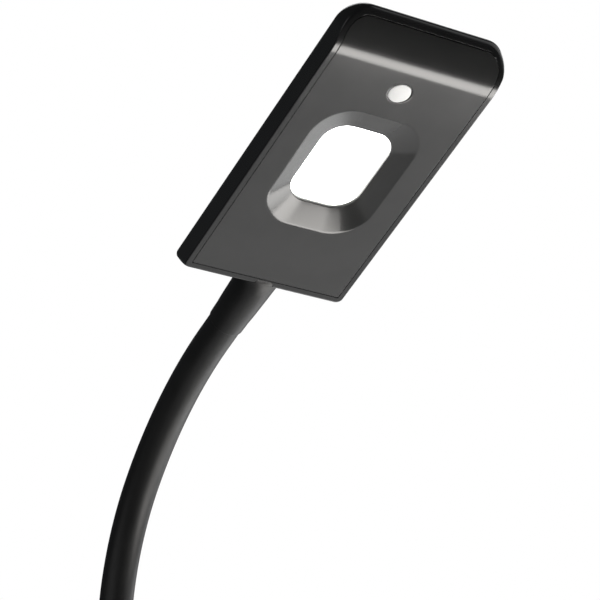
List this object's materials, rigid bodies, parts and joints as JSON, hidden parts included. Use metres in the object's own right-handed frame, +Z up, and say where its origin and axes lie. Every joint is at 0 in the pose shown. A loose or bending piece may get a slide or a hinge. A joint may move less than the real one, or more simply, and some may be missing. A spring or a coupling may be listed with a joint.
{
  "type": "picture light",
  "caption": "Slim LED picture light: flat black head with a dished window and push button, on a flexible neck that rises from a screw clamp for a panel's top edge.",
  "frame": {"origin": "middle of the clamp's seat, the flat roof of its throat that rests on a panel's top edge", "axes": "+X is the way the head reaches over the panel's front, +Y is along the panel's edge, +Z is up"},
  "size_m": [0.3118, 0.072, 0.2985],
  "materials": {
    "cover_gloss": "glossy moulded black",
    "panel_satin": "satin dark grey",
    "opal": "opal, lit from behind",
    "white_plastic": "white moulded",
    "board_white": "white solder mask on aluminium",
    "phosphor": "yellow LED phosphor",
    "aluminium": "mill finish",
    "board_green": "green solder mask",
    "component_black": "moulded black",
    "wire": "thin insulated wire",
    "button_white": "translucent white",
    "plated_steel": "zinc plated",
    "brass_plated": "plated brass",
    "sleeve_rubber": "matte black elastomer",
    "lead_black": "black insulation",
    "clamp_black": "fine satin black powder coat",
    "pad_rubber": "dark grey rubber",
    "black_steel": "blackened steel",
    "neck_steel": "wound steel"
  },
  "bodies": {
    "base": {"neck_core_1": "neck_steel", "neck_lead_1": "lead_black", "neck_sleeve_1": "sleeve_rubber", "clamp_body": "clamp_black", "jaw_pad": "pad_rubber", "base_ferrule": "plated_steel", "neck_collar": "clamp_black", "set_screw": "black_steel", "dc_inlet": "component_black", "inlet_pin": "brass_plated", "base_lead": "lead_black"},
    "neck_link_2": {"neck_core_2": "neck_steel", "neck_lead_2": "lead_black", "neck_sleeve_2": "sleeve_rubber"},
    "neck_link_3": {"neck_core_3": "neck_steel", "neck_lead_3": "lead_black", "neck_sleeve_3": "sleeve_rubber"},
    "neck_link_4": {"neck_core_4": "neck_steel", "neck_lead_4": "lead_black", "neck_sleeve_4": "sleeve_rubber"},
    "neck_link_5": {"neck_core_5": "neck_steel", "neck_lead_5": "lead_black", "neck_sleeve_5": "sleeve_rubber"},
    "neck_link_6": {"neck_core_6": "neck_steel", "neck_lead_6": "lead_black", "neck_sleeve_6": "sleeve_rubber"},
    "neck_link_7": {"neck_core_7": "neck_steel", "neck_lead_7": "lead_black", "neck_sleeve_7": "sleeve_rubber"},
    "head": {"neck_core_8": "neck_steel", "neck_lead_8": "lead_black", "neck_sleeve_8": "sleeve_rubber", "top_cover": "cover_gloss", "face_panel": "panel_satin", "diffuser": "opal", "reflector_frame": "white_plastic", "led_board": "board_white", "led_chips": "phosphor", "heat_spreader": "aluminium", "driver_board": "board_green", "driver_parts": "component_black", "led_wires": "wire", "switch_board": "board_green", "tact_switch": "component_black", "board_screws": "plated_steel", "neck_boot": "sleeve_rubber", "head_ferrule": "plated_steel", "lock_nut": "brass_plated", "lock_washer": "plated_steel", "head_lead": "lead_black"},
    "button": {"switch_button": "button_white", "tact_plunger": "white_plastic"},
    "clamp_pad": {"pressure_pad": "plated_steel", "pad_face": "pad_rubber"},
    "screw": {"clamp_screw": "plated_steel", "retaining_clip": "plated_steel", "clamp_knob": "clamp_black"}
  },
  "joints": [
    {"name": "neck_bend_1", "type": "hinge", "parent": "base", "child": "neck_link_2", "pos_m": [0, 0, 0.05], "axis": [0, 1, 0], "range_deg": [-27, 27], "deforming": ["neck_sleeve_1"]},
    {"name": "neck_sway_2", "type": "hinge", "parent": "neck_link_2", "child": "neck_link_3", "pos_m": [0, 0, 0.08], "axis": [1, 0, 0], "range_deg": [-27, 27], "deforming": ["neck_sleeve_2"]},
    {"name": "neck_bend_3", "type": "hinge", "parent": "neck_link_3", "child": "neck_link_4", "pos_m": [0.00577, 0, 0.11312], "axis": [0, 1, 0], "range_deg": [-46, 8], "deforming": ["neck_sleeve_3"]},
    {"name": "neck_sway_4", "type": "hinge", "parent": "neck_link_4", "child": "neck_link_5", "pos_m": [0.02238, 0, 0.14234], "axis": [0.7716, 0, -0.6361], "range_deg": [-27, 27], "deforming": ["neck_sleeve_4"]},
    {"name": "neck_bend_5", "type": "hinge", "parent": "neck_link_5", "child": "neck_link_6", "pos_m": [0.04028, 0, 0.16066], "axis": [0, 1, 0], "range_deg": [-36, 18], "deforming": ["neck_sleeve_5"]},
    {"name": "neck_sway_6", "type": "hinge", "parent": "neck_link_6", "child": "neck_link_7", "pos_m": [0.061, 0, 0.17571], "axis": [0.5175, 0, -0.8557], "range_deg": [-27, 27], "deforming": ["neck_sleeve_6"]},
    {"name": "neck_bend_7", "type": "hinge", "parent": "neck_link_7", "child": "head", "pos_m": [0.08396, 0, 0.18707], "axis": [0, 1, 0], "range_deg": [-31, 23], "deforming": ["neck_sleeve_7", "neck_sleeve_8"]},
    {"name": "button_press", "type": "slide", "parent": "head", "child": "button", "axis": [-0.3665, 0, 0.9304], "range_m": [0, 0.0008], "stiffness_N_per_m": 900, "springref_m": -0.0012},
    {"name": "pad_travel", "type": "slide", "parent": "base", "child": "clamp_pad", "axis": [1, 0, 0], "range_m": [-0.0045, 0.018]},
    {"name": "knob_turn", "type": "hinge", "parent": "clamp_pad", "child": "screw", "pos_m": [-0.03, 0, -0.024], "axis": [1, 0, 0], "range_deg": [-1625, 6485]}
  ],
  "couplings": [
    {"joint": "knob_turn", "follows": "pad_travel", "rad_per_m": 6283.2}
  ]
}
